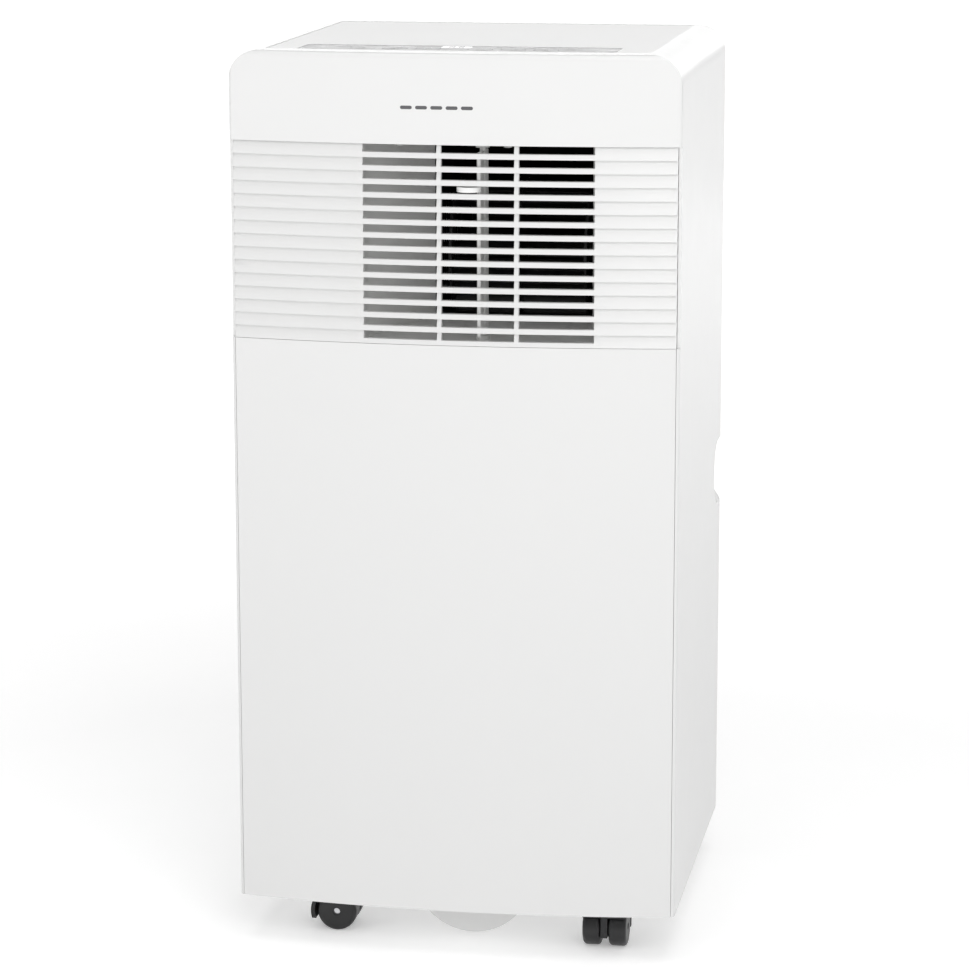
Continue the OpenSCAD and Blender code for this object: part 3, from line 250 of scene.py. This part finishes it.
def make_materials():
    white = (0.80, 0.80, 0.796)
    return {
        "shell_white": plastic("shell_white", white, 0.36, grain=1100, depth=0.00003, coat=0.1,
                               tint=0.993, sway=0.03),
        "panel_white": plastic("panel_white", (0.785, 0.785, 0.781), 0.32, grain=1400, depth=0.00002,
                               coat=0.15, tint=0.996, sway=0.02),
        # painted light: the top cover's white is set lighter than the shell's (0.91 against 0.80) to stand
        # in for the light on the top
        "cover_white": plastic("cover_white", (0.91, 0.91, 0.905), 0.5, grain=1500, depth=0.00002,
                               tint=0.993, sway=0.03),
        "strip_dark": plastic("strip_dark", (0.045, 0.045, 0.048), 0.30, grain=2400, depth=0.00003,
                              tint=0.8),
        "key_dark": plastic("key_dark", (0.050, 0.050, 0.053), 0.30, grain=2400, depth=0.00003,
                            tint=0.8),
        "window_black": plastic("window_black", (0.012, 0.012, 0.014), 0.08, grain=600, depth=0.00001,
                                coat=0.6),
        "board_green": circuit("board_green"),
        # painted light: the duct's colour is lifted close to white to stand in for the light that is missing
        # inside the duct
        "duct_grey": plastic("duct_grey", (0.88, 0.88, 0.87), 0.45, grain=1300, depth=0.00008),
        "vane_white": plastic("vane_white", (0.88, 0.88, 0.87), 0.34, grain=1200, depth=0.00004),
        "scroll_black": plastic("scroll_black", (0.010, 0.010, 0.011), 0.5, grain=1500, depth=0.00010,
                                fleck=0.3),
        "fan_grey": plastic("fan_grey", (0.018, 0.018, 0.019), 0.45, grain=1500, depth=0.00008,
                            fleck=0.3),
        "motor_steel": metal("motor_steel", (0.52, 0.53, 0.55), 0.38, brush=(1, 1, 0.05)),
        "coil_aluminium": fins("coil_aluminium", (0.78, 0.79, 0.81)),
        "copper_tube": metal("copper_tube", (0.80, 0.42, 0.26), 0.28, brush=(1, 1, 0.06)),
        "compressor_black": metal("compressor_black", (0.02, 0.02, 0.021), 0.32, metallic=0.2, scale=300,
                                  depth=0.0002),
        "rubber_black": rubber("rubber_black", (0.018, 0.018, 0.019)),
        "pan_grey": plastic("pan_grey", (0.78, 0.78, 0.775), 0.42, grain=1300, depth=0.00008),
        "filter_grey": weave("filter_grey", (0.13, 0.14, 0.15)),
        "box_metal": metal("box_metal", (0.66, 0.67, 0.69), 0.35, brush=(0.06, 1, 1)),
        "capacitor_silver": metal("capacitor_silver", (0.80, 0.81, 0.83), 0.25, brush=(1, 1, 0.05)),
        "float_orange": plastic("float_orange", (0.75, 0.22, 0.03), 0.4, grain=1500, depth=0.00005),
        "nylon_white": plastic("nylon_white", (0.80, 0.80, 0.78), 0.45, grain=1500, depth=0.00005),
        "screw_steel": metal("screw_steel", (0.60, 0.61, 0.63), 0.25, brush=(1, 0.1, 1), scale=2500),
        "caster_black": plastic("caster_black", (0.012, 0.012, 0.013), 0.42, grain=1800, depth=0.00010,
                                fleck=0.25),
        "wheel_black": plastic("wheel_black", (0.014, 0.014, 0.015), 0.38, grain=1500, depth=0.00008,
                               fleck=0.25),
        "print_grey": plastic("print_grey", (0.11, 0.11, 0.115), 0.5, grain=2600, depth=0.00002),
        "print_white": plastic("print_white", (0.62, 0.62, 0.61), 0.5, grain=2600, depth=0.00002),
        "segment_dark": plastic("segment_dark", (0.05, 0.05, 0.055), 0.25, grain=2600, depth=0.00001),
        "lamp_clear": plastic("lamp_clear", (0.30, 0.31, 0.33), 0.2, grain=2600, depth=0.00001),
        "axle_steel": metal("axle_steel", (0.62, 0.62, 0.64), 0.22, brush=(0.05, 0.05, 1), scale=1500),
    }


# ---- smoothing and rounded edges -----------------------------------------------------------------

def smooth_group(limit):
    """Geometry nodes that shade faces smooth and keep edges sharper than the limit sharp."""
    group = bpy.data.node_groups.new("smooth_by_angle", "GeometryNodeTree")
    group.interface.new_socket("Geometry", in_out="INPUT", socket_type="NodeSocketGeometry")
    group.interface.new_socket("Geometry", in_out="OUTPUT", socket_type="NodeSocketGeometry")
    new, link = group.nodes.new, group.links.new
    start, end = new("NodeGroupInput"), new("NodeGroupOutput")
    faces, edges = new("GeometryNodeSetShadeSmooth"), new("GeometryNodeSetShadeSmooth")
    faces.domain, edges.domain = "FACE", "EDGE"
    edges.inputs["Shade Smooth"].default_value = False
    angle, over = new("GeometryNodeInputMeshEdgeAngle"), new("FunctionNodeCompare")
    over.data_type, over.operation = "FLOAT", "GREATER_THAN"
    over.inputs["B"].default_value = limit
    link(start.outputs[0], faces.inputs["Geometry"])
    link(faces.outputs[0], edges.inputs["Geometry"])
    link(angle.outputs["Unsigned Angle"], over.inputs["A"])
    link(over.outputs[0], edges.inputs["Selection"])
    link(edges.outputs[0], end.inputs[0])
    return group


def weld(obj):
    mod = obj.modifiers.new("weld", "WELD")
    mod.merge_threshold = 0.000005


def soften(obj, width, segments=2, limit=32):
    """Rounds the sharp edges of a CAD node by width, which is in millimetres."""
    weld(obj)
    flat = obj.modifiers.new("flat", "DECIMATE")
    flat.decimate_type = "DISSOLVE"
    flat.angle_limit = math.radians(0.4)
    bev = obj.modifiers.new("edges", "BEVEL")
    bev.width = width * MM
    bev.segments = segments
    bev.limit_method = "ANGLE"
    bev.angle_limit = math.radians(limit)
    bev.miter_outer = "MITER_ARC"
    bev.use_clamp_overlap = True
    smooth_faces(obj)
    nor = obj.modifiers.new("normals", "WEIGHTED_NORMAL")
    nor.mode = "FACE_AREA"
    nor.weight = 60
    nor.keep_sharp = True


def smooth_faces(obj):
    mod = obj.modifiers.new("smooth", "NODES")
    mod.node_group = SMOOTH


SMOOTH = smooth_group(math.radians(50))
EDGES = {
    "front_shell": 0.5, "louver_grille": 0.35, "lower_front_panel": 0.7, "rear_shell": 0.5, "top_cover": 0.6,
    "control_overlay": 0.25, "display_window": 0.1, "air_outlet_duct": 0.4, "upper_fan_scroll": 0.4,
    "exhaust_collar": 0.6, "base_pan": 0.6, "exhaust_elbow": 0.4, "swing_vane": 0.3,
    "upper_drain_plug": 0.4, "lower_drain_plug": 0.4, "cord_gland": 0.4, "cabinet_screws": 0.15,
}
for key in ("power", "mode", "fan", "timer", "warmer", "cooler"):
    EDGES[key + "_key"] = 0.2
for corner in ("front_left", "front_right", "rear_left", "rear_right"):
    EDGES[corner + "_fork"] = 0.7
    EDGES[corner + "_wheels"] = 0.5


def dress_nodes(materials):
    slots = {s["node"]: s["material_slot"] for s in frame["record"]["subparts"]}
    for name, obj in nodes.items():
        obj.data.materials.clear()
        obj.data.materials.append(materials[slots[name]])
        if name in EDGES:
            soften(obj, EDGES[name])
        else:
            weld(obj)
            smooth_faces(obj)


# ---- printed marks ------------------------------------------------------------------------------

# Thickness of a printed mark, in millimetres
PRINT_T = 0.05


def slab(bm, outline, z0, z1):
    """Closed plate between two heights, from one outline in millimetres."""
    low = [bm.verts.new((x * MM, y * MM, z0 * MM)) for x, y in outline]
    high = [bm.verts.new((x * MM, y * MM, z1 * MM)) for x, y in outline]
    bm.faces.new(list(reversed(low)))
    bm.faces.new(high)
    for i in range(len(outline)):
        j = (i + 1) % len(outline)
        bm.faces.new((low[i], low[j], high[j], high[i]))


def turn(x, y, degrees):
    a = math.radians(degrees)
    return x * math.cos(a) - y * math.sin(a), x * math.sin(a) + y * math.cos(a)


def bar(x, y, length, width, degrees):
    corners = ((-1, -1), (1, -1), (1, 1), (-1, 1))
    ends = [turn(sx * length / 2, sy * width / 2, degrees) for sx, sy in corners]
    return [(x + dx, y + dy) for dx, dy in ends]


def disc(x, y, rx, ry=None, count=20):
    ry = ry or rx
    steps = [2 * math.pi * i / count for i in range(count)]
    return [(x + rx * math.cos(a), y + ry * math.sin(a)) for a in steps]


def arc(x, y, radius, width, start, stop, count=20):
    angles = [math.radians(start + (stop - start) * i / count) for i in range(count + 1)]
    outer = [(x + radius * math.cos(a), y + radius * math.sin(a)) for a in angles]
    inner = [(x + (radius - width) * math.cos(a), y + (radius - width) * math.sin(a)) for a in angles]
    return outer + list(reversed(inner))


def petal(x, y, reach, degrees):
    points = [(0.15, 0.0), (0.45, -0.22), (0.8, -0.32), (1.0, -0.05), (0.85, 0.2), (0.45, 0.14)]
    turned = [turn(px * reach, py * reach, degrees) for px, py in points]
    return [(x + dx, y + dy) for dx, dy in turned]


def icon(kind, x, y, size):
    """Outlines of a generic sign; size is its radius in millimetres."""
    line = size * 0.22
    if kind == "power":
        return [arc(x, y, size, line, 130, 410), bar(x, y + size * 0.65, size * 0.9, line, 90)]
    if kind == "snow":
        return [bar(x, y, 2 * size, line, a) for a in (0, 60, 120)]
    if kind == "fan":
        return [petal(x, y, size, a) for a in (90, 210, 330)]
    if kind == "clock":
        return [arc(x, y, size, line, 0, 350), bar(x, y + size * 0.3, size * 0.6, line, 90),
                bar(x + size * 0.2, y, size * 0.5, line, 0)]
    if kind == "up":
        return [[(x - size, y - size * 0.6), (x + size, y - size * 0.6), (x, y + size * 0.8)]]
    if kind == "down":
        return [[(x - size, y + size * 0.6), (x, y - size * 0.8), (x + size, y + size * 0.6)]]
    if kind == "drop":
        return [disc(x, y - size * 0.3, size * 0.62),
                [(x - size * 0.5, y), (x + size * 0.5, y), (x, y + size)]]
    return [arc(x, y, size, line * 1.6, 70, 290)]


def make_piece(name, bm, material, body):
    bmesh.ops.recalc_face_normals(bm, faces=bm.faces)
    mesh = bpy.data.meshes.new(name)
    bm.to_mesh(mesh)
    bm.free()
    obj = bpy.data.objects.new(name, mesh)
    mesh.materials.append(material)
    bpy.context.scene.collection.objects.link(obj)
    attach(obj, body)
    return obj


def print_on(name, outlines, top, material, body):
    """Plates PRINT_T over the plane `top`; each differs a little in height, as some cross."""
    bm = bmesh.new()
    for step, outline in enumerate(outlines):
        slab(bm, outline, top - 0.02 - step * 0.002, top + PRINT_T + step * 0.002)
    return make_piece(name, bm, material, body)


KEY_ICONS = {"power": "power", "mode": "snow", "fan": "fan", "timer": "clock", "warmer": "up",
             "cooler": "down"}


def make_prints(materials):
    white, grey = materials["print_white"], materials["print_grey"]
    lows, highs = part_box("control_overlay")
    top = highs[2] / MM
    rear_y = highs[1] / MM - 9.5
    for key, kind in KEY_ICONS.items():
        lo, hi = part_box(key + "_key")
        x, y = (lo[0] + hi[0]) / 2 / MM, (lo[1] + hi[1]) / 2 / MM
        print_on(key + "_icon", icon(kind, x, y, 2.6), hi[2] / MM, white, key + "_key_body")
        print_on(key + "_lamp", [disc(x, y + 11.5, 0.9)], top, materials["lamp_clear"], "cabinet")
        print_on(key + "_rule", [bar(x, y - 6.4, 11, 0.5, 0)], top, white, "cabinet")
    signs = [("snow", -84), ("drop", -60), ("fan", -36), ("moon", 26), ("clock", 50), ("snow", 74)]
    for i, (kind, x) in enumerate(signs):
        print_on("sign_%d" % (i + 1), icon(kind, x, rear_y, 2.1), top, white, "cabinet")
    make_segments(materials["segment_dark"])


def make_segments(material):
    """Two unlit seven-bar digits on the display window."""
    lo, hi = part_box("display_window")
    cx, cy = (lo[0] + hi[0]) / 2 / MM, (lo[1] + hi[1]) / 2 / MM
    outlines = []
    for digit in (-3.4, 3.4):
        for dy in (-2.9, 0, 2.9):
            outlines.append(bar(cx + digit, cy + dy, 3.0, 0.6, 0))
        for dx in (-1.9, 1.9):
            for dy in (-1.45, 1.45):
                outlines.append(bar(cx + digit + dx, cy + dy, 2.1, 0.6, 90))
    print_on("display_segments", outlines, hi[2] / MM - 0.01, material, "cabinet")


def bow_at(x):
    """Y of the bowed front at X, in millimetres."""
    half = cad_hi[0] / MM
    radius = (half * half + FRONT_BOW * FRONT_BOW) / (2 * FRONT_BOW)
    return cad_lo[1] / MM + radius - math.sqrt(radius * radius - x * x)


def make_front_mark(material):
    """A plain row of five dashes on the band above the grille."""
    height, length, pitch = 2.5, 8.6, 11.0
    z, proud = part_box("louver_grille")[1][2] / MM + 26.6, 0.03
    bm = bmesh.new()
    for i in range(5):
        cx = -9.5 + (i - 2) * pitch
        count = 10
        ends = [(cx + (length - height) / 2, -90), (cx - (length - height) / 2, 90)]
        outline = []
        for ex, start in ends:
            for k in range(count + 1):
                a = math.radians(start + 180 * k / count)
                outline.append((ex + height / 2 * math.cos(a), z + height / 2 * math.sin(a)))
        front = [bm.verts.new((x * MM, (bow_at(x) - proud) * MM, h * MM)) for x, h in outline]
        back = [bm.verts.new((x * MM, (bow_at(x) + 0.1) * MM, h * MM)) for x, h in outline]
        bm.faces.new(front)
        bm.faces.new(list(reversed(back)))
        for k in range(len(outline)):
            j = (k + 1) % len(outline)
            bm.faces.new((front[j], front[k], back[k], back[j]))
    make_piece("front_mark", bm, material, "cabinet")


# ---- stage -----------------------------------------------------------------------------------

def make_stage():
    m = Maker("floor_pale")
    m.set("Base Color", m.blend(m.spread(m.noise(3), 0, 1), (0.93, 0.93, 0.93), (0.95, 0.95, 0.95)))
    m.set("Roughness", m.spread(m.noise(20), 0.85, 0.95))
    m.set("Specular IOR Level", 0.1)
    m.set("Emission Color", (1, 1, 1, 1))
    away = m.add("ShaderNodeVectorMath", Vector=m.where)
    away.operation = "LENGTH"
    m.set("Emission Strength", m.spread(away.outputs["Value"], 0.30, 0.85, (0.6, 3.5)))
    bm = bmesh.new()
    bmesh.ops.create_grid(bm, x_segments=2, y_segments=2, size=30)
    mesh = bpy.data.meshes.new("floor")
    bm.to_mesh(mesh)
    bm.free()
    floor = bpy.data.objects.new("floor", mesh)
    mesh.materials.append(m.mat)
    bpy.context.scene.collection.objects.link(floor)
    world = bpy.data.worlds.new("studio")
    world.use_nodes = True
    back = world.node_tree.nodes["Background"]
    back.inputs["Color"].default_value = (1, 1, 1, 1)
    back.inputs["Strength"].default_value = 0.34
    bpy.context.scene.world = world


def softbox(name, place, aim, size, power):
    data = bpy.data.lights.new(name, "AREA")
    data.shape = "RECTANGLE"
    data.size, data.size_y = size
    data.energy = power
    lamp = bpy.data.objects.new(name, data)
    bpy.context.scene.collection.objects.link(lamp)
    lamp.location = place
    lamp.rotation_mode = "QUATERNION"
    lamp.rotation_quaternion = (Vector(aim) - Vector(place)).to_track_quat("-Z", "Y")


def make_lights():
    softbox("key_light", (1.3, -3.0, 2.3), (0, 0, 0.4), (2.0, 2.0), 40)
    softbox("fill_light", (-2.2, -2.6, 1.4), (0, 0, 0.3), (1.8, 2.0), 8)
    softbox("top_light", (0.1, -0.5, 3.0), (0, 0, 0.3), (2.4, 2.4), 28)
    softbox("back_light", (-0.4, 4.5, 1.35), (0, 0, 0.6), (6.0, 1.4), 50)


make_camera()
materials = make_materials()
dress_nodes(materials)
make_prints(materials)
make_front_mark(materials["print_grey"])
make_stage()
make_lights()
bpy.context.scene.view_settings.view_transform = "Standard"
